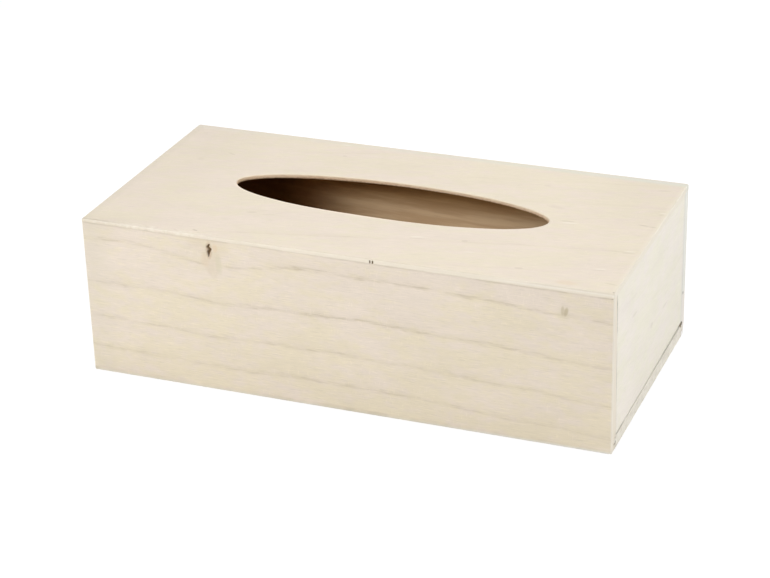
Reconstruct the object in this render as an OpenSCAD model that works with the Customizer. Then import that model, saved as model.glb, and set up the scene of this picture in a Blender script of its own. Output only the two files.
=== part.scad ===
// Tissue box of bare wood: four glued wall panels, a thin top sheet with an oval slot,
// and a bottom board that slides out in grooves through the open foot of the right end.
// The origin is the centre of the underside, +X runs along the length towards the end
// that the board slides out of, the front is at -Y and +Z is up. All sizes are in mm.

/* [Overall size] */
// Length of the box, along X
box_l = 260; // [200:1:320]
// Width of the box, along Y
box_w = 128; // [100:1:180]
// Height of the box, top sheet included
box_h = 80; // [50:1:140]
// Radius of the sanded upright corners and foot edges
edge_r = 0.6; // [0.3:0.1:1.5]

/* [Panels] */
// Thickness of the front and back panels
side_t = 5.5; // [4:0.1:9]
// Thickness of the left and right end panels
end_t = 5.5; // [4:0.1:9]
// Thickness of the top sheet
top_t = 2.2; // [1.8:0.1:5]
// Radius of the rounded edge all round the top sheet
top_edge_r = 0.8; // [0.3:0.1:1.8]

/* [Oval slot] */
// Length of the slot, along X
slot_l = 159; // [100:1:180]
// Width of the slot at its middle
slot_w = 42.6; // [25:0.1:70]
// How far the slot's centre lies behind the middle of the sheet
slot_back = 0.9; // [0:0.1:5]
// How far it lies to the right of the middle of the sheet
slot_right = 0.4; // [0:0.1:5]
// How far the hand-cut slot is turned from the length of the sheet, in degrees
slot_turn = 0.9; // [0:0.1:2]
// Depth of the sanded slope round the slot's upper rim
slot_ease = 0.8; // [0.2:0.1:1]

/* [Sliding bottom] */
// Thickness of the sliding board
board_t = 6.2; // [5.6:0.1:9]
// Height of the board's underside above the feet of the walls
board_lift = 0.3; // [0.2:0.1:1]
// Radius of the eased edges of the board
board_r = 0.4; // [0.2:0.1:0.6]
// Gap between the board's long edges and the walls, on each side
board_side_gap = 0.6; // [0.3:0.1:1.2]
// Gap between the board's far end and the left end panel
board_end_gap = 0.3; // [0.2:0.1:1]
// Thickness of the tongues along the board's long edges
tongue_t = 1.8; // [1.2:0.1:2.4]
// Height of the tongues above the board's underside
tongue_rise = 3.2; // [1.5:0.1:3.4]
// How far each tongue reaches into the wall
tongue_reach = 2.2; // [1:0.1:3]
// Running clearance all round a tongue in its groove
groove_clear = 0.3; // [0.2:0.05:0.5]
// Gap above the board under the right end panel, at the front
mouth_gap_front = 0.6; // [0.3:0.1:2]
// The same gap at the back, where the panel is cut a little short
mouth_gap_back = 2; // [0.3:0.1:3]

/* [Hidden] */

// Room between the walls, and the height of the walls under the sheet
inner_l = box_l - 2 * end_t;
inner_w = box_w - 2 * side_t;
wall_h = box_h - top_t;

// The board runs from the left end panel to the outer face of the right end
board_l = inner_l + end_t - board_end_gap;
board_w = inner_w - 2 * board_side_gap;
board_x = (box_l - board_l) / 2;
board_top = board_lift + board_t;

// The tongues on the board, and the grooves that hold them
tongue_z = board_lift + tongue_rise;
tongue_tip = inner_w / 2 + tongue_reach;
groove_d = tongue_reach + groove_clear;
groove_z = tongue_z - groove_clear;
groove_h = tongue_t + 2 * groove_clear;

// Cutters run past the faces that they cut by this much
over = 1;
arc_sides = 32;
slot_sides = 120;

// Points of an oval with the given half axes
function oval(a, b) = [for (i = [0:slot_sides - 1])
    [a * cos(i * 360 / slot_sides), b * sin(i * 360 / slot_sides)]];

// Rectangle standing on y = 0, with one radius at its upper corners and one at its lower
module round_rect(w, h, top_r, foot_r) {
    translate([-w / 2, foot_r])
        square([w, h - foot_r - top_r]);
    translate([foot_r - w / 2, 0])
        square([w - 2 * foot_r, h / 2]);
    translate([top_r - w / 2, h / 2])
        square([w - 2 * top_r, h / 2]);
    for (side = [-1, 1]) {
        translate([side * (w / 2 - top_r), h - top_r])
            circle(r = top_r, $fn = arc_sides);
        translate([side * (w / 2 - foot_r), foot_r])
            circle(r = foot_r, $fn = arc_sides);
    }
}

// Block standing on z = 0, centred on the z axis, with all its outer edges rounded
module eased_block(l, w, h, corner_r, top_r, foot_r) {
    intersection() {
        translate([0, -w / 2, 0])
            linear_extrude(height = h)
                round_rect(l, w, corner_r, corner_r);
        translate([-l / 2, 0, 0])
            rotate([90, 0, 90])
                linear_extrude(height = l)
                    round_rect(w, h, top_r, foot_r);
        translate([0, w / 2, 0])
            rotate([90, 0, 0])
                linear_extrude(height = w)
                    round_rect(l, h, top_r, foot_r);
    }
}

// The whole box's outer form, which every panel is trimmed to
module outer_form() {
    eased_block(box_l, box_w, box_h, edge_r, top_edge_r, edge_r);
}

// Plain slab between two opposite corners
module slab(low, high) {
    translate(low)
        cube(high - low);
}

// Cutter for the oval slot: a straight wall, and a slope round the upper rim
module slot_cut() {
    rim_h = slot_ease + over;
    translate([slot_right, slot_back, 0])
        rotate([0, 0, -slot_turn]) {
            translate([0, 0, wall_h - over])
                linear_extrude(height = top_t + 2 * over)
                    polygon(oval(slot_l / 2, slot_w / 2));
            translate([0, 0, box_h - slot_ease])
                linear_extrude(height = rim_h,
                               scale = [1 + 2 * rim_h / slot_l, 1 + 2 * rim_h / slot_w])
                    polygon(oval(slot_l / 2, slot_w / 2));
        }
}

// Long wall, drawn as the front one, with the groove along its inner face
module long_panel() {
    difference() {
        intersection() {
            slab([-box_l / 2, -box_w / 2, 0], [box_l / 2, -inner_w / 2, wall_h]);
            outer_form();
        }
        slab([-box_l / 2 - over, -inner_w / 2 - groove_d, groove_z],
             [box_l / 2 + over, -inner_w / 2 + over, groove_z + groove_h]);
    }
}

// Thin sheet glued over the four walls
module top_panel() {
    color("#ece1cb")
        difference() {
            intersection() {
                slab([-box_l / 2, -box_w / 2, wall_h], [box_l / 2, box_w / 2, box_h]);
                outer_form();
            }
            slot_cut();
        }
}

module front_panel() {
    color("#e2d3bb")
        long_panel();
}

module back_panel() {
    color("#dccdb4")
        mirror([0, 1, 0])
            long_panel();
}

// The left end panel stands on the table between the long walls
module left_end_panel() {
    color("#e8decb")
        intersection() {
            slab([-box_l / 2, -inner_w / 2, 0], [-inner_l / 2, inner_w / 2, wall_h]);
            outer_form();
        }
}

// The right end panel stops short above the board, on a slightly slanting cut
module right_end_panel() {
    foot_front = board_top + mouth_gap_front;
    foot_back = board_top + mouth_gap_back;
    color("#ebe2d0")
        intersection() {
            translate([inner_l / 2, 0, 0])
                rotate([90, 0, 90])
                    linear_extrude(height = end_t)
                        polygon([[-inner_w / 2, foot_front], [inner_w / 2, foot_back],
                                 [inner_w / 2, wall_h], [-inner_w / 2, wall_h]]);
            outer_form();
        }
}

// Bottom board with a tongue along each long edge
module sliding_bottom() {
    root = board_w / 2 - 2 * board_r;
    tongue_l = board_l - 2 * board_r;
    color("#ded2bd")
        translate([board_x, 0, 0]) {
            translate([0, 0, board_lift])
                eased_block(board_l, board_w, board_t, board_r, board_r, board_r);
            slab([-tongue_l / 2, root, tongue_z], [tongue_l / 2, tongue_tip, tongue_z + tongue_t]);
            slab([-tongue_l / 2, -tongue_tip, tongue_z], [tongue_l / 2, -root, tongue_z + tongue_t]);
        }
}

top_panel();
front_panel();
back_panel();
left_end_panel();
right_end_panel();
sliding_bottom();
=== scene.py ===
"""The looks of the wooden tissue box: six pieces of pale bare wood, the camera and a soft studio."""

import math

import bmesh
import bpy
from mathutils import Matrix, Vector, noise


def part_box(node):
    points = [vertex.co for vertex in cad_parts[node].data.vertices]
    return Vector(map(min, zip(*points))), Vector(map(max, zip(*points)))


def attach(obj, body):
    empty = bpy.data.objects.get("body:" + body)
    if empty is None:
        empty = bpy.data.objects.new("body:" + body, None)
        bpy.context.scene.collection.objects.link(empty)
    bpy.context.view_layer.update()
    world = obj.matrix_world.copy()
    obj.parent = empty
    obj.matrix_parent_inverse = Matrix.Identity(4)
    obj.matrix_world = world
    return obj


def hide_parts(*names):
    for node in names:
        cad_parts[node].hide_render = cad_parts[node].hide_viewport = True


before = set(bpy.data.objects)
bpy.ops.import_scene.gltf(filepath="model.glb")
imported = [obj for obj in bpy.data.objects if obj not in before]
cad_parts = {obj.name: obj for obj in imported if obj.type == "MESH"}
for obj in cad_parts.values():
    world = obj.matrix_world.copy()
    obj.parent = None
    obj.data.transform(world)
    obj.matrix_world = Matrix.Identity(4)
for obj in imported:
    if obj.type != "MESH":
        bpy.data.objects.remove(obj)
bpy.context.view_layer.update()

MM = 0.001
TINY = 0.01 * MM
HAIR = TINY / 2

# Edges that meet at more than this are still sharp, and less is a rounding already made
SHARP = math.radians(50)

# Faces that meet at less than this are shaded as one curve
ONE_CURVE = math.radians(40)


# The camera, placed so that the box's corners fall where the picture has them

PICTURE_WIDTH = 770
FOCAL_LENGTH_IN_PIXELS = 2196.1
SENSOR_WIDTH = 36
CAMERA_TURN = math.radians(22.076)
CAMERA_RISE = math.radians(25.521)
CAMERA_ROLL = math.radians(-1.634)
CAMERA_AWAY = 1077.73 * MM
CAMERA_ASIDE = 3.39 * MM
CAMERA_UP = -30.30 * MM


def make_camera():
    """Turned and raised round the box, tilted a little, and set aside to frame it as pictured."""
    back = Vector((math.sin(CAMERA_TURN) * math.cos(CAMERA_RISE),
                   -math.cos(CAMERA_TURN) * math.cos(CAMERA_RISE),
                   math.sin(CAMERA_RISE)))
    level = Vector((math.cos(CAMERA_TURN), math.sin(CAMERA_TURN), 0))
    upright = back.cross(level)
    right = level * math.cos(CAMERA_ROLL) + upright * math.sin(CAMERA_ROLL)
    up = upright * math.cos(CAMERA_ROLL) - level * math.sin(CAMERA_ROLL)
    data = bpy.data.cameras.new("picture camera")
    data.sensor_width = SENSOR_WIDTH
    data.lens = FOCAL_LENGTH_IN_PIXELS * SENSOR_WIDTH / PICTURE_WIDTH
    camera = bpy.data.objects.new("picture camera", data)
    turned = Matrix((right, up, back)).transposed().to_4x4()
    place = back * CAMERA_AWAY - right * CAMERA_ASIDE - up * CAMERA_UP
    camera.matrix_world = Matrix.Translation(place) @ turned
    bpy.context.scene.collection.objects.link(camera)
    bpy.context.scene.camera = camera


make_camera()


# Shader maths

class Wire:
    """A shader node's output. Sums and products of wires add Math nodes to their tree."""

    def __init__(self, tree, socket=None):
        self.tree = tree
        self.socket = socket

    def node(self, kind, settings=None, sockets=None, output=0):
        """Adds a node: its settings first, then the values or wires of its sockets."""
        made = self.tree.nodes.new(kind)
        for name, value in (settings or {}).items():
            setattr(made, name, value)
        for name, value in (sockets or {}).items():
            if isinstance(value, Wire):
                self.tree.links.new(value.socket, made.inputs[name])
            else:
                made.inputs[name].default_value = value
        return Wire(self.tree, made.outputs[output])

    def twin(self, output):
        """Another output of the same node."""
        return Wire(self.tree, self.socket.node.outputs[output])

    def math(self, operation, *terms):
        return self.node("ShaderNodeMath", {"operation": operation}, dict(enumerate(terms)))

    def __add__(self, other):
        return self.math("ADD", self, other)

    __radd__ = __add__

    def __sub__(self, other):
        return self.math("SUBTRACT", self, other)

    def __rsub__(self, other):
        return self.math("SUBTRACT", other, self)

    def __mul__(self, other):
        return self.math("MULTIPLY", self, other)

    __rmul__ = __mul__

    def __truediv__(self, other):
        return self.math("DIVIDE", self, other)

    def __pow__(self, other):
        return self.math("POWER", self, other)

    def __neg__(self):
        return self.math("MULTIPLY", self, -1)

    def __abs__(self):
        return self.math("ABSOLUTE", self)


def rise(value, low, high):
    """0 at low and 1 at high, with a soft start and end. Low may be above high."""
    return value.node("ShaderNodeMapRange", {"interpolation_type": "SMOOTHSTEP"},
                      {"Value": value, "From Min": low, "From Max": high})


def bell(value, centre, width):
    """1 at the centre, dying away to each side over a width."""
    away = (value - centre) / width
    return value.math("EXPONENT", -(away * away))


def larger(first, second):
    return first.math("MAXIMUM", first, second)


def smaller(first, second):
    return first.math("MINIMUM", first, second)


def spot(x, y, at, size, turn=0.0, soft=0.5):
    """1 inside an oval mark with the given half sizes, fading out across its rim."""
    x = x - at[0]
    y = y - at[1]
    first = (x * math.cos(turn) + y * math.sin(turn)) / size[0]
    second = (y * math.cos(turn) - x * math.sin(turn)) / size[1]
    return rise(first * first + second * second, 1 + soft, 1 - soft)


def tint(share, first, second):
    """The first colour, turning into the second as the share goes from 0 to 1."""
    return share.node("ShaderNodeMix", {"data_type": "RGBA"}, {0: share, 6: first, 7: second}, 2)


def shaded(colour, factor):
    """A colour made lighter or darker by a plain factor."""
    return colour.node("ShaderNodeMix", {"data_type": "RGBA", "blend_type": "MULTIPLY"},
                       {0: 1.0, 6: colour, 7: factor}, 2)


def paint(red, green, blue):
    """A colour written from 0 to 255 as a screen shows it, in the light values that shaders use."""
    def light(level):
        level = level / 255
        return level / 12.92 if level <= 0.04045 else ((level + 0.055) / 1.055) ** 2.4
    return (light(red), light(green), light(blue), 1.0)


# Where a point lies in a board of wood

class Board:
    """Places in a board, in mm: run along the grain, rise across the face, deep through it."""

    def __init__(self, material, run, across, deep, seed, slope=0.0):
        start = Wire(material.node_tree)
        place = start.node("ShaderNodeTexCoord", output="Object")
        in_mm = place.node("ShaderNodeVectorMath", {"operation": "SCALE"},
                           {0: place, "Scale": 1 / MM})
        self.x = in_mm.node("ShaderNodeSeparateXYZ", sockets={0: in_mm})
        self.y = self.x.twin("Y")
        self.z = self.x.twin("Z")
        facing = place.twin("Normal")
        self.facing_x = facing.node("ShaderNodeSeparateXYZ", sockets={0: facing})
        self.facing_y = self.facing_x.twin("Y")
        self.facing_z = self.facing_x.twin("Z")
        self.run = getattr(self, run)
        self.rise = getattr(self, across) - self.run * slope
        self.deep = getattr(self, deep)
        self.end_on = getattr(self, "facing_" + run)
        self.seed = seed

    def noise(self, length, height, depth, detail=2.0, rough=0.5):
        """Smooth noise from 0 to 1 whose blots have about the given size, in mm."""
        spread = self.run.node("ShaderNodeCombineXYZ", sockets={
            0: self.run / length + self.seed, 1: self.rise / height, 2: self.deep / depth})
        return spread.node("ShaderNodeTexNoise", sockets={
            "Vector": spread, "Scale": 1.0, "Detail": detail, "Roughness": rough})

    def attribute(self, name):
        return self.run.node("ShaderNodeAttribute", {"attribute_name": name}, output="Fac")


# The box's own sizes in mm, and how much its hand-made seams lean

HALF_LENGTH = 130
HALF_WIDTH = 64
HEIGHT = 80
INNER_HALF_WIDTH = 58.5
SEAM_DOWN = 2.3
SEAM_LEAN = 1.4 / (2 * HALF_LENGTH)
CORNER_LEAN = 0.03
CORNER_LEAN_FROM = 45

# The right end panel's foot, which is cut a little short at the back
FOOT_FRONT = 7.1 * MM
FOOT_BACK = 8.5 * MM
FOOT_LEAN = 1.4 / (2 * INNER_HALF_WIDTH)

# How matt bare wood is, and how deep its grain
GLOSS = 0.25
ROUGHNESS = 0.66
GRAIN_DEPTH = 0.06 * MM
GRAIN_STRENGTH = 0.6


def edge_gap(board, middle=(0, 0, HEIGHT / 2), half=(HALF_LENGTH, HALF_WIDTH, HEIGHT / 2)):
    """How far a point on a block's outside lies from the nearest edge of the block."""
    x = half[0] - abs(board.x - middle[0])
    y = half[1] - abs(board.y - middle[1])
    z = half[2] - abs(board.z - middle[2])
    return larger(smaller(x, y), smaller(larger(x, y), z))


def worn_and_lit_edges(board, gap):
    """Where sandpaper has taken the edges down to fresh, paler wood, with a painted highlight along
    the arrises.
    """
    ragged = board.noise(5, 2, 2, 2) - 0.5
    return rise(gap + ragged * 0.8, 0.9, 0.2)


def glue_lines(board):
    """How dark the glue shows: under the top sheet, and where the end panels meet the long ones."""
    down = HEIGHT - board.z
    along = board.x / HALF_LENGTH
    uneven = 0.3 + 0.7 * rise(board.noise(9, 9, 9, 2), 0.38, 0.62)
    over_long_panels = rise(abs(board.y), INNER_HALF_WIDTH - 0.5, INNER_HALF_WIDTH + 0.3)
    before_corners = rise(abs(board.x), HALF_LENGTH - 0.3, HALF_LENGTH - 1.2)
    under_sheet = bell(down, SEAM_DOWN + board.x * SEAM_LEAN, 0.5) * over_long_panels
    under_sheet = under_sheet * uneven * before_corners
    under_sheet = under_sheet * (0.18 + 0.05 * along + 0.1 * along * along)
    on_ends = rise(abs(board.x), HALF_LENGTH - 2, HALF_LENGTH - 0.8)
    dark_above = rise(down, 26, 18)
    dark_below = bell(down, 45, 9)
    lean = (board.z - CORNER_LEAN_FROM) * CORNER_LEAN * rise(board.y, 1, -1) * rise(board.x, -1, 1)
    beside_ends = bell(abs(board.y) - lean, INNER_HALF_WIDTH, 0.36) * on_ends
    at_front = (0.2 + 0.8 * dark_above + 0.6 * dark_below) * rise(board.y, 1, -1)
    at_back = (0.12 + 0.25 * bell(down, 50, 18)) * rise(board.y, -1, 1)
    beside_ends = beside_ends * (at_front + at_back) * uneven * rise(down, 2.4, 3.6)
    return [(under_sheet, GLUE_DIRT_AND_SHADE), (beside_ends, DARK_GLUE)]


def growth_lines(board, level, spacing, strength):
    """A row of dashes wherever the level is a whole number, with a soft shade that leads up to it."""
    away = (level - level.math("ROUND", level)) * spacing
    dashes = rise(board.noise(11, 0.75, 9, 2), 0.40, 0.60)
    line = bell(away, 0, 0.85) * (0.25 + 0.75 * dashes)
    lead = rise(away, -0.22 * spacing, 0) * rise(away, 1.5, 0)
    return (line + lead * 0.18) * strength


def bare_wood(board, pink, yellow, late, lines, bold=1.0, warmth=0.0):
    """Bare sanded wood without marks, and the height of its grain. Lines are late wood, 0 to 1."""
    streaks = board.noise(9, 1.1, 1.1, 3, 0.6) - 0.5
    threads = board.noise(4, 0.4, 0.4, 2, 0.55) - 0.5
    vessels = rise(board.noise(2.4, 0.22, 0.22, 1), 0.60, 0.74)
    clouds = board.noise(34, 12, 12, 2) - 0.5
    patchy = rise(board.noise(30, 20, 20, 1), 0.45, 0.58)
    flecks = rise(board.noise(0.6, 3, 3, 1), 0.62, 0.76) * patchy
    dashes = board.noise(7, 0.5, 0.5, 1)
    dashes = rise(dashes, 0.60, 0.70) - rise(dashes, 0.40, 0.30)
    hue = board.noise(30, 14, 14, 2) * 0.55 + board.noise(7, 4, 4, 2) * 0.45 + warmth
    colour = tint(rise(hue, 0.38, 0.62), pink, yellow)
    colour = tint(lines, colour, late)
    uneven = streaks * 0.09 + threads * 0.07 + vessels * 0.05 + clouds * 0.09 - flecks * 0.045
    uneven = uneven + dashes * 0.05
    height = threads * 0.5 - vessels * 0.8 - streaks * 0.3 - lines * 0.2 + flecks * 0.3
    return shaded(colour, 1 - uneven * bold), height


def inner_wood(board, light, dark):
    """The wood inside the box, with bold streaks. Its colours are browner and darker than the
    outside, partly as painted shade.
    """
    streaks = board.noise(34, 3.4, 3.4, 3, 0.6)
    return tint(rise(streaks, 0.36, 0.64), light, dark)


def marked(colour, marks):
    """A colour with marks laid over it. Each mark is a share and its own colour."""
    for share, mark in marks:
        colour = tint(share, colour, mark)
    return colour


def dress(material, colour, height):
    """Joins the colour and the height of the grain to the surface."""
    tree = material.node_tree
    shader = tree.nodes["Principled BSDF"]
    shader.inputs["Specular IOR Level"].default_value = GLOSS
    tree.links.new(colour.socket, shader.inputs["Base Color"])
    rough = ROUGHNESS - height * 0.05
    tree.links.new(rough.socket, shader.inputs["Roughness"])
    bumped = height.node("ShaderNodeBump", sockets={
        "Strength": GRAIN_STRENGTH, "Distance": GRAIN_DEPTH, "Height": height})
    tree.links.new(bumped.socket, shader.inputs["Normal"])


def new_material(name):
    material = bpy.data.materials.new(name)
    material.use_nodes = True
    return material


# Finishes, and colours that paint light and shade on them

SIDE_PINK = paint(233, 220, 205)
SIDE_YELLOW = paint(232, 220, 196)
SIDE_LATE = paint(186, 170, 138)
SIDE_END = paint(235, 226, 210)
BACK_END = paint(236, 235, 227)
BACK_END_LOW = paint(238, 232, 224)
# Painted light at the foot of the back panel's end
BACK_END_FOOT_LIGHT = paint(255, 253, 250)
TOP_PINK = paint(234, 221, 206)
TOP_YELLOW = paint(233, 222, 201)
# Late wood, also used as painted shade on the sheet's arris
TOP_LATE_AND_SHADE = paint(200, 184, 158)
# Paler edge of the sheet, partly painted highlight
SHEET_EDGE_PALE_AND_LIT = paint(243, 234, 217)
CUT_EDGE = paint(230, 201, 169)
CUT_CREAM = paint(244, 221, 190)
# Pale far rim, partly painted highlight
FAR_RIM_PALE_AND_LIT = paint(246, 228, 200)
# Painted highlight on the slot's near rim
NEAR_RIM_HIGHLIGHT = paint(249, 234, 214)
# Painted shade on the slot's cut face
CUT_EDGE_SHADE = paint(140, 108, 78)
ENDS_PINK = paint(242, 235, 225)
ENDS_YELLOW = paint(240, 235, 219)
ENDS_TOP = paint(239, 232, 217)
# Painted shade on the top's back edge
FAR_EDGE_GREY_SHADE = paint(214, 222, 214)
FAR_EDGE_SHADE = paint(212, 215, 212)
ENDS_LATE = paint(216, 206, 190)
BOARD_PINK = paint(234, 224, 210)
BOARD_YELLOW = paint(232, 223, 202)
BOARD_END = paint(242, 237, 225)
# Inner faces: browner wood, darker also as painted shade inside the box
INSIDE_BROWN_AND_SHADE = paint(182, 140, 96)
INSIDE_DARK_AND_SHADE = paint(150, 108, 68)
BOARD_INSIDE = paint(224, 202, 168)
BOARD_INSIDE_DARK = paint(206, 180, 142)
BACK_INSIDE = paint(240, 209, 168)
BACK_INSIDE_DARK = paint(222, 187, 146)
# Factors that paint shade and light on the back wall's inner face
IN_SHADE = (0.70, 0.56, 0.35, 1.0)
IN_LIGHT = (0.99, 0.99, 0.98, 1.0)
SHADE_AT_LEFT = (0.27, 0.20, 0.11, 1.0)
SHADE_TOWARDS_LEFT = (0.88, 0.84, 0.78, 1.0)
PLAIN = (1.0, 1.0, 1.0, 1.0)
# Fresh pale wood on rubbed edges, also painted highlight on rounded edges and corners
PALE_WEAR_AND_HIGHLIGHT = paint(246, 239, 226)
# Glue and dirt, also used as painted shade
GLUE_DIRT_AND_SHADE = paint(150, 134, 106)
DARK_GLUE = paint(112, 106, 94)
GAP_SHADE = paint(140, 134, 120)
# Painted shadow in small gaps and openings
GAP_SHADOW_DARK = paint(70, 64, 54)
# Painted light in the gap over the board
MOUTH_PAINTED_LIGHT = paint(250, 252, 250)
FOOT_SHADE = paint(206, 200, 180)
# Painted light that the white table throws on the foot
FOOT_BOUNCE_PALE = paint(242, 230, 216)
FOOT_BOUNCE_WHITE = paint(248, 248, 246)
# Painted shade at the left end
LEFT_END_SHADE = paint(206, 200, 180)
# Dark sawn wood, also painted shade beside the board and in the grooves
SAWN_AND_SHADED = paint(128, 106, 78)
# Dark wood and painted shade deep in the crack and the nicks
HOLLOW_DARK_AND_SHADE = paint(100, 78, 50)
KNOT_HALO = paint(215, 199, 171)
KNOT_RIM = paint(204, 187, 163)
KNOT_GREEN = paint(218, 209, 183)
KNOT_ORANGE = paint(224, 198, 160)
KNOT_FRINGE = paint(186, 152, 116)
KNOT_PALE = paint(238, 228, 210)
SMALL_KNOT = paint(180, 164, 126)


def knot_marks(along, down):
    """The stains round the crack of the upper left knot: a cup that hangs down, and streaks."""
    hang = larger(down - 9, 0) / 12.5
    half = 4.8 * (1 - hang ** 2.2)
    centre = 66.9 + 0.06 * (down - 9)
    inside = half - abs(along - centre)
    cup = rise(inside, -1.4, 1.6) * rise(down, 6, 11) * rise(down, 22, 16.5)
    rim = bell(inside, 0.2, 1.0) * rise(down, 15, 19) * rise(down, 23, 20)
    funnel = spot(along, down, (64.5, 2.5), (11, 6.5), 0.3, 0.8)
    yellow = spot(along, down, (63.6, 12.5), (2.0, 3.4), 0.0, 0.8)
    fringe = spot(along, down, (65.9, 7.2), (1.5, 4.0), 0.0, 0.8)
    orange = spot(along, down, (69.1, 5.8), (1.3, 1.9), 0.0, 0.9)
    green = spot(along, down, (70.6, 14.0), (1.6, 4.6), -0.1, 0.9)
    pale = spot(along, down, (68.6, 15.8), (0.6, 3.2), 0.0, 0.8)
    tail = spot(along, down, (67.2, 34), (1.4, 14), 0.0, 0.9)
    return cup, [(funnel * 0.3, KNOT_HALO), (cup * 0.35, KNOT_HALO), (rim * 0.14, KNOT_RIM),
                 (yellow * 0.2, KNOT_ORANGE), (green * 0.5, KNOT_GREEN),
                 (pale * 0.12, KNOT_PALE), (orange * 0.4, KNOT_ORANGE),
                 (fringe * 0.45, KNOT_FRINGE), (tail * 0.1, KNOT_PALE)]


def front_wood():
    """The front panel: four growth lines that dip under a knot near its upper left corner."""
    material = new_material("front panel wood")
    board = Board(material, "x", "z", "y", 3.1)
    along = board.x + HALF_LENGTH
    down = HEIGHT - board.z
    cup, stains = knot_marks(along, down)
    share = along / (2 * HALF_LENGTH)
    sink = share * share * share * 6
    dip = bell(along, 71, 24) * 6.3 / (1 + larger(down - 12, 0) / 15)
    waver = (board.noise(30, 14, 20, 2) - 0.5) * 3 + (board.noise(4, 2.2, 20, 3) - 0.5) * 2.2
    ring = down - sink - dip + waver
    level = (23.4 - (547.6 - 6 * (ring - 9.3)) ** 0.5) / 3
    strong = 0.14 + 0.24 * rise(board.noise(16, 8, 30, 2), 0.38, 0.6)
    strong = strong * (1 + 0.5 * bell(along, 140, 50)) * (1 - 0.3 * rise(down, 24, 44))
    strong = strong * (1 - 0.45 * bell(along, 86, 16) * rise(down, 24, 18))
    spacing = 23.4 - 3 * level
    lines = growth_lines(board, level, spacing, strong * (1 - cup))
    warmth = (down - 40) * 0.0012
    colour, height = bare_wood(board, SIDE_PINK, SIDE_YELLOW, SIDE_LATE, lines, 1.1, warmth)
    small_knot = larger(spot(along, down, (236.6, 12.0), (0.8, 2.2), 0.0, 0.9) * 0.7,
                        spot(along, down, (238.1, 12.3), (0.9, 2.1), 0.25, 0.9))
    small_halo = spot(along, down, (237.3, 12.6), (2.8, 4), 0.0, 0.9)
    end_grain = rise(abs(board.end_on), 0.6, 0.9)
    right_end = rise(board.end_on, 0.6, 0.9)
    foot_blotches = rise(board.noise(14, 9, 9, 2), 0.44, 0.62) * bell(along, 155, 70)
    inside = rise(board.facing_y, 0.5, 0.9) * rise(board.x, 124, 122)
    in_groove = rise(abs(board.y), 61.7, 61.3) * rise(board.z, 6.0, 5.7)
    in_groove = in_groove * rise(abs(board.end_on), 0.6, 0.3) * rise(board.facing_y, -0.5, -0.2)
    marks = stains + [
        (small_halo * 0.3, KNOT_GREEN),
        (small_knot * 0.6, SMALL_KNOT),
        (end_grain, SIDE_END),
        (worn_and_lit_edges(board, edge_gap(board)) * 0.4, PALE_WEAR_AND_HIGHLIGHT),
        (rise(board.z, 2.8, 1.0) * (1 - end_grain) * 0.2, FOOT_SHADE),
        # Darker blots just above the foot
        (rise(board.z, 2.6, 1.4) * foot_blotches * 0.16, GLUE_DIRT_AND_SHADE),
        # Painted light on the foot's rounding, as the white table throws it, more to the right
        (rise(board.z, 1.7, 0.3) * (0.18 + 0.34 * rise(board.x, 10, 125)), FOOT_BOUNCE_WHITE),
        # Painted shade at the left end of the front, strongest near its top
        (rise(along, 34, 14) * rise(down, 8, 2) * 0.06, GLUE_DIRT_AND_SHADE),
        (rise(along, 20, 4) * (0.14 + 0.12 * rise(board.z, 36, 60)), LEFT_END_SHADE),
        # Painted highlight on the rounded right front corner
        (rise(board.x, 129.2, 129.7) * rise(board.y, -62.4, -63.4) * 0.5, PALE_WEAR_AND_HIGHLIGHT),
        (spot(along, down, (259.0, 2.9), (0.5, 0.3), 0.0, 0.8) * 0.5, GLUE_DIRT_AND_SHADE),
        # Painted light from the table, low on the front near its right end
        (bell(board.z, 2.3, 0.7) * rise(along, 244, 256) * (1 - end_grain) * 0.5, FOOT_BOUNCE_PALE),
        # Painted shade on the panel's end beside the gap over the board, and a painted shadow at the
        # gap's front corner
        (rise(board.y, -61.2, -59.6) * rise(board.z, 11, 8) * right_end * 0.14, GLUE_DIRT_AND_SHADE),
        (spot(board.y, board.z, (-58.6, 6.1), (0.6, 0.5), 0.0, 0.6) * right_end * 0.4, GAP_SHADOW_DARK),
    ] + glue_lines(board) + [
        # Inner face: browner wood, darker also as painted shade
        (inside, INSIDE_BROWN_AND_SHADE),
        # Painted shade in the groove that the board runs in
        (in_groove, SAWN_AND_SHADED),
        # Dark knot wood, and painted shade deep in the crack
        (board.attribute("hollow"), HOLLOW_DARK_AND_SHADE),
    ]
    dress(material, marked(colour, marks), height)
    return material


def plain_wood(board, colours, spacing, bold, inside, end):
    """A panel without knots: a few faint growth lines on an even ground, and its inner face."""
    pink, yellow, late = colours
    waver = (board.noise(60, 26, 26, 2) - 0.5) * 8 + (board.noise(6, 3, 3, 2) - 0.5) * 2
    level = (board.rise + board.deep * 0.7 + waver) / spacing + board.seed
    broken = bold * rise(board.noise(24, 10, 24, 2), 0.42, 0.65)
    lines = growth_lines(board, level, spacing, broken)
    colour, height = bare_wood(board, pink, yellow, late, lines, 0.8)
    end_grain = rise(abs(board.end_on), 0.6, 0.9)
    return colour, height, [(end_grain, end)] + inside


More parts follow.
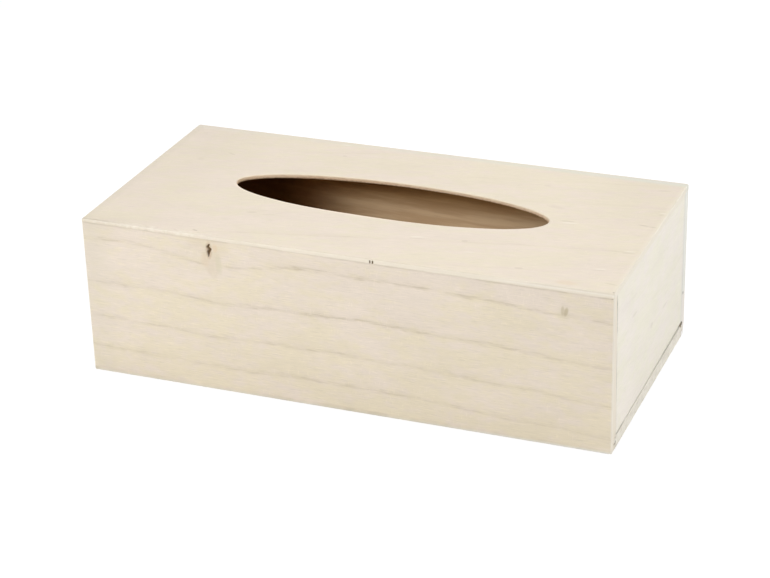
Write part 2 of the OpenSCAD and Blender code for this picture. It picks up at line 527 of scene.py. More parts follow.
def back_wood():
    """The back panel: browner inside, where the slot shows it, with painted shade there towards its
    top and its left, and with a nick in its right end.
    """
    material = new_material("back panel wood")
    board = Board(material, "x", "z", "y", 5.3, -0.03)
    inside = rise(board.facing_y, -0.5, -0.9) * rise(board.x, 124, 122)
    # Painted shade on the inner face: darker towards the top, and much darker towards the left
    inside_painted_shade = shaded(inner_wood(board, BACK_INSIDE, BACK_INSIDE_DARK),
                      tint(rise(board.z, 61, 48), IN_SHADE, IN_LIGHT))
    inside_painted_shade = shaded(inside_painted_shade, tint(rise(board.x, -84, -61), SHADE_AT_LEFT, PLAIN))
    inside_painted_shade = shaded(inside_painted_shade, tint(rise(board.x, -62, -26), SHADE_TOWARDS_LEFT, PLAIN))
    colour, height, marks = plain_wood(
        board, (SIDE_PINK, SIDE_YELLOW, SIDE_LATE), 17, 0.3, [(inside, inside_painted_shade)], BACK_END)
    marks += [(worn_and_lit_edges(board, edge_gap(board)) * 0.4, PALE_WEAR_AND_HIGHLIGHT)] + glue_lines(board)
    right_end = rise(board.end_on, 0.6, 0.9)
    nick = spot(board.y, board.z, (59.6, 24.0), (2.2, 0.7), -0.3, 0.7) * right_end
    # Painted shadow of a small opening low in the joint
    hole_shadow = spot(board.y, board.z, (59.0, 7.5), (1.4, 1.0), 0.0, 0.6) * right_end
    marks += [(rise(board.z, 27, 21) * right_end, BACK_END_LOW),
              # Painted light at the foot of this end, near white where it meets the table
              (rise(board.z, 7, 3) * right_end, BACK_END_FOOT_LIGHT),
              (nick * 0.35, DARK_GLUE),
              (hole_shadow, GAP_SHADOW_DARK)]
    dress(material, marked(colour, marks), height)
    return material


def end_wood(name, seed, inward, slope):
    """An end panel, smoother and paler than the long ones, with its grain across the box."""
    material = new_material(name)
    board = Board(material, "y", "z", "x", seed, slope)
    inside = rise(board.facing_x * inward, 0.5, 0.9)
    colour, height, marks = plain_wood(
        board, (ENDS_PINK, ENDS_YELLOW, ENDS_LATE), 15, 0.15,
        [(inside, inner_wood(board, INSIDE_BROWN_AND_SHADE, INSIDE_DARK_AND_SHADE))], ENDS_PINK)
    front = board.y + HALF_WIDTH
    down = HEIGHT - board.z
    small_marks = larger(spot(front, down, (64.7, 45.8), (2, 1.2), 0.0, 0.9),
                         larger(spot(front, down, (88.4, 46.3), (5, 0.7), 0.0, 0.9),
                                spot(front, down, (33.9, 25.8), (4, 0.7), 0.1, 0.9)))
    right_end = rise(board.x, 0, 1)
    foot = FOOT_FRONT / MM + (board.y + INNER_HALF_WIDTH) * FOOT_LEAN
    low = rise(board.z - foot, 0.9, 0.3) * right_end
    dark = rise(board.y, -43, -48) * 0.4 + rise(board.y, 54.5, 57.5) * 0.5
    soft = bell(board.z, 7.4, 1.5) * (0.02 + 0.24 * rise(board.y, -5, 45))
    marks += [(small_marks * 0.12, GLUE_DIRT_AND_SHADE),
              (rise(board.y, 54, 58) * right_end * 0.33, FAR_EDGE_SHADE),
              (worn_and_lit_edges(board, edge_gap(board)) * 0.4, PALE_WEAR_AND_HIGHLIGHT)] + glue_lines(board)
    # Painted shadow of a small opening at the back of the foot
    hole_shadow = spot(board.y, board.z, (58.6, 8.0), (1.4, 1.0), 0.0, 0.6) * right_end
    marks += [(soft * right_end, GAP_SHADE),
              (low * dark, GAP_SHADE),
              (hole_shadow, GAP_SHADOW_DARK)]
    dress(material, marked(colour, marks), height)
    return material


def board_wood():
    """The bottom board: plain and a little warm above, with saw marks across its ends."""
    material = new_material("bottom board wood")
    board = Board(material, "x", "y", "z", 8.9, 0.03)
    low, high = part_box("sliding_bottom")
    middle = (low + high) / 2 / MM
    half = (high - low) / 2 / MM
    inside = rise(board.facing_z, 0.5, 0.9) * rise(board.x, 128, 112) * 0.7
    colour, height, marks = plain_wood(
        board, (BOARD_PINK, BOARD_YELLOW, SIDE_LATE), 18, 0.5,
        [(inside, inner_wood(board, BOARD_INSIDE, BOARD_INSIDE_DARK))], BOARD_END)
    saw_marks = rise(board.noise(4, 0.6, 3, 2), 0.45, 0.7) * rise(abs(board.end_on), 0.6, 0.9)
    long_edge_shade = rise(abs(board.facing_y), 0.6, 0.9) * rise(board.x, 127, 123)
    at_mouth = rise(board.facing_x, 0.5, 0.9)
    soft = bell(board.z, 7.4, 1.5) * (0.03 + 0.27 * rise(board.y, -5, 45)) * at_mouth
    blots = rise(board.noise(7, 4, 1.6, 2), 0.45, 0.62) * at_mouth
    # Painted shadow of a narrow gap low at the front of the board's end
    slit_shadow = spot(board.y, board.z, (-58.4, 3.5), (0.55, 1.1), 0.0, 0.6) * at_mouth
    # Painted light on the board's top where the gap over it shows
    mouth = rise(board.facing_z, 0.5, 0.9) * rise(board.x, 126.6, 128.4)
    dark = rise(board.y, -42, -48) * 0.85 + rise(board.y, 54.5, 57.5) * 0.85
    marks += [(saw_marks * 0.2, SIDE_LATE),
              # Painted shade on the long edges beside the walls, and painted light and shade on the
              # board's top in the gap
              (long_edge_shade * 0.6, SAWN_AND_SHADED),
              (mouth * 0.6, MOUTH_PAINTED_LIGHT),
              (mouth * dark * 0.65, GAP_SHADE),
              (blots * 0.12, GLUE_DIRT_AND_SHADE),
              (soft, GAP_SHADE),
              (worn_and_lit_edges(board, edge_gap(board, middle, half)) * 0.4, PALE_WEAR_AND_HIGHLIGHT),
              (slit_shadow * 0.95, GAP_SHADOW_DARK)]
    dress(material, marked(colour, marks), height)
    return material


SLOT_HALF_LENGTH = 79.5
SLOT_HALF_WIDTH = 21.3
SLOT_RIGHT = 0.4
SLOT_BACK = 0.9
SLOT_TURN = math.radians(0.9)
SLOT_EASE = 0.8

# Two nicks side by side in the sheet's front edge: how far along they are, in mm
NICKS = (146.2, 147.5)
NICK_HALF_WIDTH = 0.22 * MM
NICK_DEPTH = 0.4 * MM


# Small marks on the top sheet: the place from its back left corner and half the size, in mm,
# the turn in radians and the strength

DARK_SPECKS = [
    ((57.2, 123.5), (1.3, 0.6), 0.3, 0.3),
    ((212.7, 116.4), (2.0, 1.0), 0.0, 0.15),
    ((259.2, 127.2), (0.5, 0.5), 0.0, 0.5),
    ((33.8, 32.4), (2.2, 0.6), 0.4, 0.12),
    ((73.6, 96.3), (2.6, 0.6), -0.3, 0.15),
    ((82.5, 96.6), (3.4, 0.5), -0.2, 0.1),
    ((251.7, 12.2), (3.0, 0.6), -0.2, 0.12),
    ((180.2, 96.4), (1.4, 1.2), 0.0, 0.12),
    ((218.0, 60.6), (3.4, 0.7), -0.1, 0.16),
    ((208.0, 46.5), (4.5, 1.6), 0.2, 0.08),
    ((254.0, 86.0), (2.6, 0.8), -0.2, 0.12),
    ((158.4, 100.4), (3.4, 0.6), -0.2, 0.12),
    ((246.5, 107.6), (2.8, 0.6), -0.2, 0.1),
    ((89.0, 18.0), (1.2, 1.0), 0.0, 0.1),
    ((21.5, 43.0), (1.8, 1.4), 0.0, 0.07),
    ((196.5, 23.0), (1.6, 1.2), 0.0, 0.07),
    ((252.6, 54.6), (2.4, 0.5), 0.1, 0.25),
    ((257.0, 55.2), (1.8, 0.5), 0.0, 0.2),
    ((257.6, 40.8), (1.6, 0.4), 0.0, 0.12),
    ((256.0, 119.6), (3.0, 0.5), 0.1, 0.15),
]
PALE_SPECKS = [
    ((158.0, 98.6), (3.2, 0.7), -0.2, 0.4),
    ((219.5, 62.2), (3.8, 0.6), -0.1, 0.5),
    ((254.5, 84.4), (2.4, 0.7), -0.2, 0.4),
    ((247.0, 106.2), (2.6, 0.6), -0.2, 0.4),
    ((186.0, 107.2), (2.4, 0.6), -0.2, 0.3),
    ((84.5, 4.2), (3.0, 0.7), 0.0, 0.35),
    ((257.6, 38.4), (1.8, 0.6), 0.0, 0.4),
]


def top_wood():
    """The top sheet: almost plain, with faint slanting lines and a raw cut edge in the slot."""
    material = new_material("top sheet wood")
    board = Board(material, "x", "y", "z", 7.7, 0.17)
    along = board.x + HALF_LENGTH
    back = HALF_WIDTH - board.y
    down = HEIGHT - board.z
    waver = (board.noise(50, 24, 24, 2) - 0.5) * 4 + (board.noise(6, 3, 3, 2) - 0.5) * 2
    from_left = along - 78
    slant = back + from_left * 0.245 - from_left * from_left * 0.00026
    level = (slant - 120 + waver) / 26
    broken = rise(board.noise(34, 12, 30, 2), 0.40, 0.60)
    broken = (0.10 + 0.18 * bell(level, 0, 0.5)) * (0.3 + 0.7 * broken) * rise(along, 50, 90)
    lines = growth_lines(board, level, 26, broken)
    warmth = (along - HALF_LENGTH) * 0.0002 - (back - HALF_WIDTH) * 0.0003
    colour, height = bare_wood(board, TOP_PINK, TOP_YELLOW, TOP_LATE_AND_SHADE, lines, 0.75, warmth)
    # Painted shade: darker towards both ends and at the back right corner
    colour = shaded(colour, 1 - 0.028 * rise(along, 205, 245) - 0.03 * rise(along, 55, 15)
                    - 0.03 * rise(along, 200, 245) * rise(back, 66, 36))
    slot_x = (board.x - SLOT_RIGHT) / (SLOT_HALF_LENGTH + SLOT_EASE)
    slot_y = (board.y - SLOT_BACK) / (SLOT_HALF_WIDTH + SLOT_EASE)
    slot_out = slot_x * slot_x + slot_y * slot_y
    in_slot = rise(slot_out, 1.06, 1.0)
    # The near rim's rounding, for a painted highlight
    near_rim_highlight = rise(slot_out, 1.035, 1.0) * rise(slot_y, -0.05, -0.3) * rise(slot_x, 1.0, 0.2)
    # The far rim's rounding, pale and with a painted highlight
    far_rim_pale_and_lit = in_slot * rise(slot_y, -0.2, 0.2) * rise(board.facing_z, 0.99, 0.9)
    cut = in_slot * rise(board.facing_z, 0.55, 0.25)
    cream = rise(board.noise(4, 6, 6, 2), 0.42, 0.58) * rise(board.z, 78.6, 79.2)
    ragged = (board.noise(1.6, 1.6, 1.6, 2) - 0.5) * 0.9
    # The lower part of the cut face, for painted shade with a ragged edge
    cut_shade = cut * rise(board.z + ragged, 78.7, 78.0)
    under = rise(board.facing_z, -0.5, -0.9)
    on_edge = rise(abs(board.facing_y), 0.5, 0.8) * (1 - in_slot)
    on_end = rise(abs(board.facing_x), 0.5, 0.8) * (1 - in_slot)
    # Rubbed edges with their painted highlight, fading out from the left end
    worn_and_lit = worn_and_lit_edges(board, edge_gap(board)) * (0.3 - 0.3 * rise(along, 40, 85))
    # Where the sheet's arris rounds over, for painted shade
    arris = rise(board.facing_z, 0.3, 0.6) * rise(board.facing_z, 0.995, 0.9) * (1 - in_slot)
    # A line along the front arris at the left end, for painted shade
    far_left = rise(along, 28, 6) * bell(back, 127.2, 0.5)
    specks = [(spot(along, back, at, size, turn, 0.8) * share, GLUE_DIRT_AND_SHADE)
              for at, size, turn, share in DARK_SPECKS]
    specks += [(spot(along, back, at, size, turn, 0.8) * share, PALE_WEAR_AND_HIGHLIGHT)
               for at, size, turn, share in PALE_SPECKS]
    blotch = spot(along, back, (237.0, 124.0), (4.5, 2.2), 0.0, 0.9)
    near_edge = rise(back, 124.5, 126) * rise(along, 84, 60)
    rough = board.noise(3, 1, 9, 2)
    dents = rise(rough, 0.44, 0.36) * near_edge
    rough = rise(rough, 0.55, 0.64) * near_edge
    nicks = larger(spot(along, down, (NICKS[0], 1.8), (0.3, 0.8), 0.0, 0.7) * 0.6,
                   spot(along, down, (NICKS[1], 1.9), (0.4, 0.8), 0.3, 0.7))
    nicks = nicks * rise(board.facing_y, -0.3, -0.6)
    marks = specks + [
        (blotch * 0.25, KNOT_ORANGE),
        (rough * 0.4, PALE_WEAR_AND_HIGHLIGHT),
        (dents * 0.12, GLUE_DIRT_AND_SHADE),
        # The sheet's front and back edges: paler wood, partly a painted highlight
        (on_edge * (0.35 + 0.35 * rise(along, 40, 110)), SHEET_EDGE_PALE_AND_LIT),
        # Painted highlight: a bright line low on the sheet's front edge towards the right, and a
        # bright spot at its right corner
        (bell(down, 1.35, 0.35) * on_edge * rise(along, 190, 225) * 0.7, PALE_WEAR_AND_HIGHLIGHT),
        (spot(along, down, (259.3, 1.7), (0.5, 0.5), 0.0, 0.8) * 0.8, PALE_WEAR_AND_HIGHLIGHT),
        (on_end, ENDS_TOP),
        (worn_and_lit, PALE_WEAR_AND_HIGHLIGHT),
        # Painted shade: on the sheet's rounded arris, in a line along it at the left end, near the
        # front left corner, and in a thin line on its front edge near the right end
        (arris * (0.12 + 0.1 * rise(along, 30, 110) - 0.17 * rise(along, 190, 220)), TOP_LATE_AND_SHADE),
        (far_left * 0.3, GLUE_DIRT_AND_SHADE),
        (rise(along, 34, 14) * rise(back, 118, 126) * 0.05, GLUE_DIRT_AND_SHADE),
        (bell(down, 0.6, 0.3) * on_edge * rise(along, 218, 228) * 0.12, GLUE_DIRT_AND_SHADE),
        (rise(along, 257, 260) * rise(board.facing_z, 0.6, 0.9) * 0.3, ENDS_TOP),
        # Painted shade along the sheet's left end
        (rise(along, 6, 1.5) * 0.2, LEFT_END_SHADE),
        # Painted shade: a cool grey along the top's back edge, stronger to the right
        (bell(back, 2.6, 2.2) * (0.15 + 0.3 * rise(along, 60, 250)), FAR_EDGE_GREY_SHADE),
        # Painted highlight on the near rim of the slot
        (near_rim_highlight * 0.7, NEAR_RIM_HIGHLIGHT),
    ] + glue_lines(board) + [
        # Painted shade in and round the nicks
        (nicks * 0.8, GLUE_DIRT_AND_SHADE),
        # Paler far rim of the slot, partly painted highlight
        (far_rim_pale_and_lit * 0.6, FAR_RIM_PALE_AND_LIT),
        (cut, CUT_EDGE),
        (cut * cream * 0.8, CUT_CREAM),
        # Painted shade on the lower part of the cut face
        (cut_shade * 0.8, CUT_EDGE_SHADE),
        # Underside: the inner wood, darker also as painted shade
        (under, INSIDE_BROWN_AND_SHADE),
        # Painted shade deep in the nicks
        (board.attribute("hollow"), HOLLOW_DARK_AND_SHADE),
    ]
    dress(material, marked(colour, marks), height)
    return material


# Making the pieces

def in_order(items):
    """Every item once, in the order in which it first comes, so that each run cuts alike."""
    return list(dict.fromkeys(items))


def edges_along(bm, axis):
    """Edges that run along an axis."""
    found = []
    for edge in bm.edges:
        way = edge.verts[1].co - edge.verts[0].co
        if abs(way["xyz".index(axis)]) > 0.999 * way.length:
            found.append(edge)
    return found


def corners_where(bm, test):
    """Edges at which two faces meet at a sharp angle, where the edge's middle passes a test."""
    bm.normal_update()
    found = []
    for edge in bm.edges:
        middle = (edge.verts[0].co + edge.verts[1].co) / 2
        if edge.is_manifold and edge.calc_face_angle() > SHARP and test(middle):
            found.append(edge)
    return found


def ease(bm, edges, radius, steps):
    """Rounds edges, as sandpaper does."""
    bmesh.ops.bevel(bm, geom=edges, offset=radius, offset_type="OFFSET", segments=steps,
                    profile=0.5, affect="EDGES", clamp_overlap=True, material=-1)


def bar(outline, start, end):
    """A bar from start to end along X whose cross-section has the given corners in Y and Z."""
    bm = bmesh.new()
    face = bm.faces.new([bm.verts.new((start, y, z)) for y, z in outline])
    grown = bmesh.ops.extrude_face_region(bm, geom=[face])
    moved = [item for item in grown["geom"] if isinstance(item, bmesh.types.BMVert)]
    bmesh.ops.translate(bm, verts=moved, vec=(end - start, 0, 0))
    bmesh.ops.recalc_face_normals(bm, faces=bm.faces)
    return bm


def cut_across(bm, step):
    """Cuts a bar's long edges into lengths of about one step."""
    long_edges = edges_along(bm, "x")
    cuts = round(long_edges[0].calc_length() / step) - 1
    bmesh.ops.subdivide_edges(bm, edges=long_edges, cuts=cuts, use_grid_fill=True)


def faces_in(bm, low, high):
    """Faces that reach into a block of space by more than a hair."""
    found = []
    for face in bm.faces:
        spans = [[vert.co[axis] for vert in face.verts] for axis in range(3)]
        if all(min(span) < high[axis] - HAIR and max(span) > low[axis] + HAIR
               for axis, span in enumerate(spans)):
            found.append(face)
    return found


def cut_fine(bm, low, high, step, flat_axis):
    """Cuts the faces in a block of space into small squares, across all but the flat axis."""
    for axis in (0, 1, 2):
        if axis == flat_axis:
            continue
        across = Vector((axis == 0, axis == 1, axis == 2))
        for cut in range(round((high[axis] - low[axis]) / step) + 1):
            faces = faces_in(bm, low, high)
            near = in_order(item for face in faces for item in [face, *face.edges, *face.verts])
            bmesh.ops.bisect_plane(bm, geom=near, dist=TINY / 10, plane_no=across,
                                   plane_co=across * (low[axis] + cut * step))


def press_in(bm, low, high, step, inward, depth, share):
    """Presses a hollow into a face. share gives how deep a place lies in it, from 0 to 1."""
    flat_axis = max(range(3), key=lambda axis: abs(inward[axis]))
    cut_fine(bm, low, high, step, flat_axis)
    marks = bm.verts.layers.float.get("hollow") or bm.verts.layers.float.new("hollow")
    for vert in bm.verts:
        if all(low[axis] <= vert.co[axis] <= high[axis] for axis in range(3)):
            vert[marks] = share(vert.co)
            vert.co += inward * (depth * share(vert.co))


def keep(bm, name, material, body, node):
    """Turns a finished mesh into the piece that stands for a node and rides on its body."""
    bmesh.ops.recalc_face_normals(bm, faces=bm.faces)
    mesh = bpy.data.meshes.new(name)
    bm.to_mesh(mesh)
    bm.free()
    mesh.materials.append(material)
    mesh.shade_smooth()
    mesh.set_sharp_from_angle(angle=ONE_CURVE)
    piece = bpy.data.objects.new(name, mesh)
    bpy.context.scene.collection.objects.link(piece)
    piece.modifiers.new("flat faces stay flat", "WEIGHTED_NORMAL").keep_sharp = True
    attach(piece, body)
    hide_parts(node)


# Sizes that the pieces' boxes don't give

SHEET_ARRIS = 0.6 * MM
SHEET_CORNER_EASE = 0.45 * MM
SHEET_AT_SLOT = 1.8 * MM
LEFT_SHEET_MORE = 0.35 * MM
CORNER_EASE = 0.6 * MM
SEAM_EASE = 0.12 * MM
TIGHT_SEAM_EASE = 0.08 * MM
BOARD_EASE = 0.4 * MM
BOARD_FOOT_EASE = 0.2 * MM
GROOVE_DEPTH = 2.35 * MM
GROOVE_LOW = 3.2 * MM
GROOVE_HIGH = 5.6 * MM
TONGUE_LOW = 3.5 * MM
TONGUE_HIGH = 5.3 * MM
TONGUE_REACH = 2.8 * MM

SHEET_STEPS = 384
WALL_STEP = 2 * MM


def smooth_step(value):
    value = min(max(value, 0), 1)
    return value * value * (3 - 2 * value)


def lean_seam(bm, seam):
    """Tilts the seam under the sheet, which lies lower at the right end than at the left."""
    for vert in bm.verts:
        over_long_wall = abs(vert.co.y) > (INNER_HALF_WIDTH - 1) * MM
        over_end_wall = abs(vert.co.x) > (HALF_LENGTH - 6) * MM
        if abs(vert.co.z - seam) < SEAM_EASE * 1.2 and (over_long_wall or over_end_wall):
            vert.co.z -= vert.co.x * SEAM_LEAN


def lean_corner(bm):
    """Leans the seam between the front and the right end panels, which isn't quite upright."""
    for vert in bm.verts:
        beside = abs(vert.co.y + INNER_HALF_WIDTH * MM) < TIGHT_SEAM_EASE * 1.2
        if beside and vert.co.x > (HALF_LENGTH - 0.2) * MM:
            vert.co.y -= (vert.co.z - CORNER_LEAN_FROM * MM) * CORNER_LEAN


def ring(bm, shape, height):
    """A closed ring of edges at one height. shape turns an angle into a place in X and Y."""
    made = bmesh.ops.create_circle(bm, segments=SHEET_STEPS, radius=1)
    for vert in made["verts"]:
        x, y = shape(math.atan2(vert.co.y, vert.co.x))
        vert.co = (x, y, height)
    return in_order(edge for vert in made["verts"] for edge in vert.link_edges)


def slot_outline(angle):
    """The hand-cut slot: an oval that is turned a little and strays by a hair here and there."""
    stray = noise.noise(Vector((math.cos(angle) * 2.2, math.sin(angle) * 2.2, 4.1))) * 0.35
    x = (SLOT_HALF_LENGTH + stray) * math.cos(angle)
    y = (SLOT_HALF_WIDTH + stray) * math.sin(angle)
    bent = 0.6 * math.exp(-((x + 6) / 18) ** 2) + 0.4 * math.exp(-(x / 40) ** 2)
    bent -= 0.45 * smooth_step((abs(x) - 50) / 15)
    y += bent * smooth_step(-y / 8)
    turned_x = x * math.cos(SLOT_TURN) + y * math.sin(SLOT_TURN)
    turned_y = y * math.cos(SLOT_TURN) - x * math.sin(SLOT_TURN)
    return (turned_x + SLOT_RIGHT) * MM, (turned_y + SLOT_BACK) * MM


def top_sheet():
    """The thin sheet: four rings joined up, then eased all round, with its cut edge left ragged."""
    low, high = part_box("top_panel")

    def outside(angle):
        reach = 1 / max(abs(math.cos(angle)), abs(math.sin(angle)))
        return high.x * math.cos(angle) * reach, high.y * math.sin(angle) * reach

    def on_outside(place):
        return abs(place.x) > high.x - TINY or abs(place.y) > high.y - TINY

    def on_mitre(place):
        return abs((high.x - abs(place.x)) - (high.y - abs(place.y))) < TINY

    bm = bmesh.new()
    slot_foot = high.z - SHEET_AT_SLOT
    rings = [ring(bm, outside, high.z), ring(bm, slot_outline, high.z),
             ring(bm, slot_outline, slot_foot), ring(bm, outside, low.z)]
    for first, second in zip(rings, rings[1:] + rings[:1]):
        bmesh.ops.bridge_loops(bm, edges=first + second)
    bmesh.ops.recalc_face_normals(bm, faces=bm.faces)
    ease(bm, corners_where(bm, lambda p: p.z > high.z - TINY and on_outside(p)), SHEET_ARRIS, 6)
    mitres = [edge for edge in bm.edges
              if on_mitre((edge.verts[0].co + edge.verts[1].co) / 2)
              and abs(edge.verts[0].co.z - edge.verts[1].co.z) > TINY]
    ease(bm, mitres, SHEET_CORNER_EASE, 3)
    ease(bm, corners_where(bm, lambda p: p.z > high.z - TINY), SLOT_EASE * MM, 5)
    ease(bm, corners_where(bm, lambda p: p.z < low.z + TINY and abs(p.y) > high.y - TINY),
         SEAM_EASE, 2)
    for vert in bm.verts:
        if abs(vert.co.z - slot_foot) < TINY:
            vert.co.z += noise.noise(vert.co * 900) * 0.12 * MM
            vert.co.z -= LEFT_SHEET_MORE * smooth_step((10 * MM - vert.co.x) / (50 * MM))
    lean_seam(bm, low.z)
    for along in NICKS:
        at = (along - HALF_LENGTH) * MM
        press_in(bm, Vector((at - 0.7 * MM, low.y - 1 * MM, low.z + 0.3 * MM)),
                 Vector((at + 0.7 * MM, low.y + TINY, high.z - 1.0 * MM)), 0.1 * MM,
                 Vector((0, 1, 0)), NICK_DEPTH,
                 lambda p: smooth_step(1.6 - abs(p.x - at) / NICK_HALF_WIDTH))
    return bm


# The crack in the knot, as places along the front and down from its top, in mm

CRACK = [(66.2, 4.3), (65.4, 5.7), (66.6, 6.6), (65.7, 8.2), (65.7, 10.4)]
CRACK_HALF_WIDTHS = [0.35, 0.7, 0.75, 0.8, 0.15]
CRACK_DEPTH = 0.8 * MM
CRACK_CUT = 0.2 * MM
CRACK_FROM = (-66.2 * MM, 68.4 * MM)
CRACK_TO = (-62.0 * MM, 76.8 * MM)


def in_crack(place):
    """How deep in the crack a place on the front lies, from 0 to 1."""
    here = Vector((place.x / MM + HALF_LENGTH, HEIGHT - place.z / MM))
    deepest = 0
    for k in range(len(CRACK) - 1):
        start, end = Vector(CRACK[k]), Vector(CRACK[k + 1])
        way = end - start
        share = min(max((here - start).dot(way) / way.dot(way), 0), 1)
        half = CRACK_HALF_WIDTHS[k] * (1 - share) + CRACK_HALF_WIDTHS[k + 1] * share
        away = (here - start - way * share).length
        deepest = max(deepest, smooth_step(1.35 - away / half))
    return deepest


def long_wall(node, front):
    """The front panel, or the back one as its mirror image."""
    low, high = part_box(node)
    outer = low.y if front else high.y
    inner = high.y if front else low.y
    deep = inner + (outer - inner) / abs(outer - inner) * GROOVE_DEPTH
    bm = bar([(outer, 0), (inner, 0), (inner, GROOVE_LOW), (deep, GROOVE_LOW),
              (deep, GROOVE_HIGH), (inner, GROOVE_HIGH), (inner, high.z), (outer, high.z)],
             low.x, high.x)
    cut_across(bm, WALL_STEP)

    def outer_edge(place):
        return (place.z < TINY or abs(place.y - outer) < TINY) and place.z < high.z - TINY

    ease(bm, corners_where(bm, lambda p: outer_edge(p) and abs(p.y - inner) > TINY),
         CORNER_EASE, 3)
    ease(bm, corners_where(bm, lambda p: p.z > high.z - TINY and abs(p.y - outer) < TINY),
         SEAM_EASE, 2)
    ease(bm, corners_where(bm, lambda p: abs(p.y - inner) < TINY and abs(p.x) > high.x - TINY),
         TIGHT_SEAM_EASE, 2)
    lean_seam(bm, high.z)
    lean_corner(bm)
    if front:
        press_in(bm, Vector((CRACK_FROM[0], outer - 1 * MM, CRACK_FROM[1])),
                 Vector((CRACK_TO[0], outer + TINY, CRACK_TO[1])), CRACK_CUT,
                 Vector((0, 1, 0)), CRACK_DEPTH, in_crack)
    return bm


def end_wall(node, foot_front, foot_back):
    """An end panel, between the long ones. Its foot may rise from the front to the back."""
    low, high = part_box(node)
    bm = bar([(low.y, foot_front), (high.y, foot_back), (high.y, high.z), (low.y, high.z)],
             low.x, high.x)
    outer = high.x if high.x > 0 else low.x
    foot = max(foot_front, foot_back) + TINY
    ease(bm, corners_where(bm, lambda p: p.z < foot and abs(p.x - outer) < TINY
                           and abs(p.y) < high.y - TINY), BOARD_EASE, 3)
    ease(bm, corners_where(bm, lambda p: abs(p.x - outer) < TINY and p.z > foot),
         TIGHT_SEAM_EASE, 2)
    lean_seam(bm, high.z)
    lean_corner(bm)
    return bm


def bottom_board():
    """The board that slides out, with a tongue along each long edge."""
    low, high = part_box("sliding_bottom")
    body = high.y - TONGUE_REACH
    bm = bar([(-body, low.z), (body, low.z), (body, TONGUE_LOW), (high.y, TONGUE_LOW),
              (high.y, TONGUE_HIGH), (body, TONGUE_HIGH), (body, high.z), (-body, high.z),
              (-body, TONGUE_HIGH), (low.y, TONGUE_HIGH), (low.y, TONGUE_LOW),
              (-body, TONGUE_LOW)], low.x, high.x)
    bm.normal_update()
    ease(bm, [edge for edge in corners_where(bm, lambda p: p.z > TONGUE_LOW - TINY)
              if edge.is_convex], BOARD_EASE, 2)
    ease(bm, [edge for edge in corners_where(bm, lambda p: p.z < low.z + TINY)
              if edge.is_convex], BOARD_FOOT_EASE, 2)
    return bm


keep(top_sheet(), "top_sheet", top_wood(), "box", "top_panel")
keep(long_wall("front_panel", True), "front_wall", front_wood(), "box",
     "front_panel")
keep(long_wall("back_panel", False), "back_wall", back_wood(), "box", "back_panel")
keep(end_wall("left_end_panel", 0, 0), "left_end_wall",
     end_wood("left end panel wood", 1.9, 1, 0.05), "box", "left_end_panel")
keep(end_wall("right_end_panel", FOOT_FRONT, FOOT_BACK), "right_end_wall",
     end_wood("right end panel wood", 2.7, -1, -0.05), "box", "right_end_panel")
keep(bottom_board(), "sliding_board", board_wood(), "bottom", "sliding_bottom")


# Floor, light and surroundings

def softbox(name, place, aim, width, height, watts):
    """A studio lamp behind a white cloth, aimed at a place."""
    data = bpy.data.lights.new(name, "AREA")
    data.shape = "RECTANGLE"
    data.size = width
    data.size_y = height
    data.energy = watts
    lamp = bpy.data.objects.new(name, data)
    place = Vector(place)
    turned = (Vector(aim) - place).to_track_quat("-Z", "Y").to_matrix().to_4x4()
    lamp.matrix_world = Matrix.Translation(place) @ turned
    bpy.context.scene.collection.objects.link(lamp)


def towards(turn, height, away):
    """A place at a turn round the box, 0 in front and 90 at its right, a height and a distance."""
    turn = math.radians(turn)
    height = math.radians(height)
    level = math.cos(height)
    return Vector((math.sin(turn) * level, -math.cos(turn) * level, math.sin(height))) * away


MIDDLE = Vector((0, 0, 40 * MM))
LAMPS_AWAY = 1.3
ROOM_LIGHT = 0.15
TABLE_PALE = (0.8, 0.8, 0.8, 1)
TABLE_SHADOW = (0.3, 0.3, 0.3, 1)
TABLE_GLOW = 0.8
WHITE = (1, 1, 1, 1)

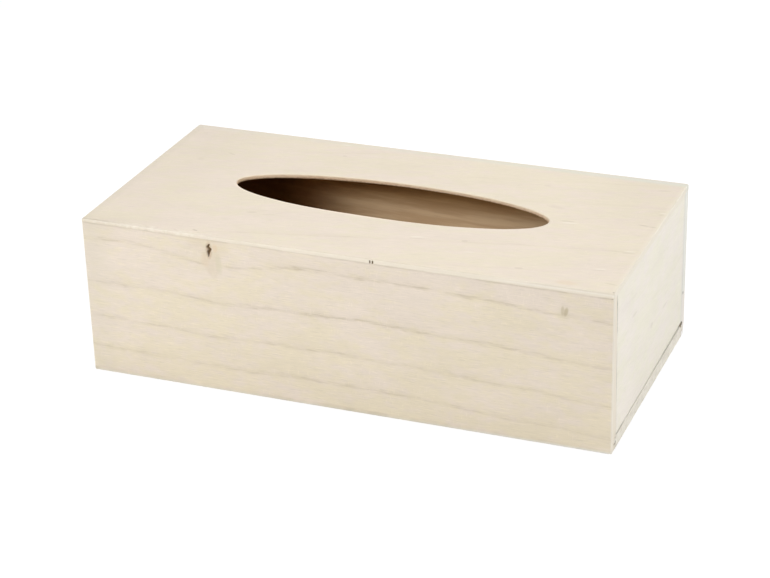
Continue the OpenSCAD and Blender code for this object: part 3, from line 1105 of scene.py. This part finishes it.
softbox("key softbox", towards(-25, 34, LAMPS_AWAY), MIDDLE, 0.45, 0.45, 10.5)
softbox("right softbox", towards(95, 33, LAMPS_AWAY), MIDDLE, 0.45, 0.45, 7.8)
softbox("high back softbox", towards(180, 60, LAMPS_AWAY), MIDDLE, 0.6, 0.6, 5.6)


def white_for_the_camera(tree):
    """1 for rays that only show the surroundings, 0 for those that light the object."""
    start = Wire(tree)
    seen = start.node("ShaderNodeLightPath", output="Is Camera Ray")
    mirrored = seen.twin("Is Glossy Ray")
    through = seen.twin("Is Transmission Ray")
    return larger(larger(seen, mirrored), through)


def make_world():
    """A faint even light all round, which the camera sees as plain white."""
    world = bpy.data.worlds.new("white surroundings")
    world.use_nodes = True
    bpy.context.scene.world = world
    share = white_for_the_camera(world.node_tree)
    backdrop = world.node_tree.nodes["Background"]
    backdrop.inputs["Color"].default_value = WHITE
    strength = ROOM_LIGHT + (1 - ROOM_LIGHT) * share
    world.node_tree.links.new(strength.socket, backdrop.inputs["Strength"])


def make_floor():
    """A pale table that the camera sees as white, but for the box's shadow."""
    material = new_material("white table")
    tree = material.node_tree
    start = Wire(tree)
    plain = start.node("ShaderNodeBsdfDiffuse", sockets={"Color": TABLE_PALE})
    shadow = start.node("ShaderNodeBsdfDiffuse", sockets={"Color": TABLE_SHADOW})
    glow = start.node("ShaderNodeEmission", sockets={"Color": WHITE, "Strength": TABLE_GLOW})
    seen = start.node("ShaderNodeAddShader", sockets={0: shadow, 1: glow})
    share = white_for_the_camera(tree)
    mixed = start.node("ShaderNodeMixShader", sockets={0: share, 1: plain, 2: seen})
    tree.links.new(mixed.socket, tree.nodes["Material Output"].inputs["Surface"])
    bm = bmesh.new()
    bmesh.ops.create_grid(bm, x_segments=1, y_segments=1, size=4)
    mesh = bpy.data.meshes.new("table")
    bm.to_mesh(mesh)
    bm.free()
    mesh.materials.append(material)
    table = bpy.data.objects.new("table", mesh)
    bpy.context.scene.collection.objects.link(table)


make_world()
make_floor()

bpy.context.scene.view_settings.view_transform = "Standard"
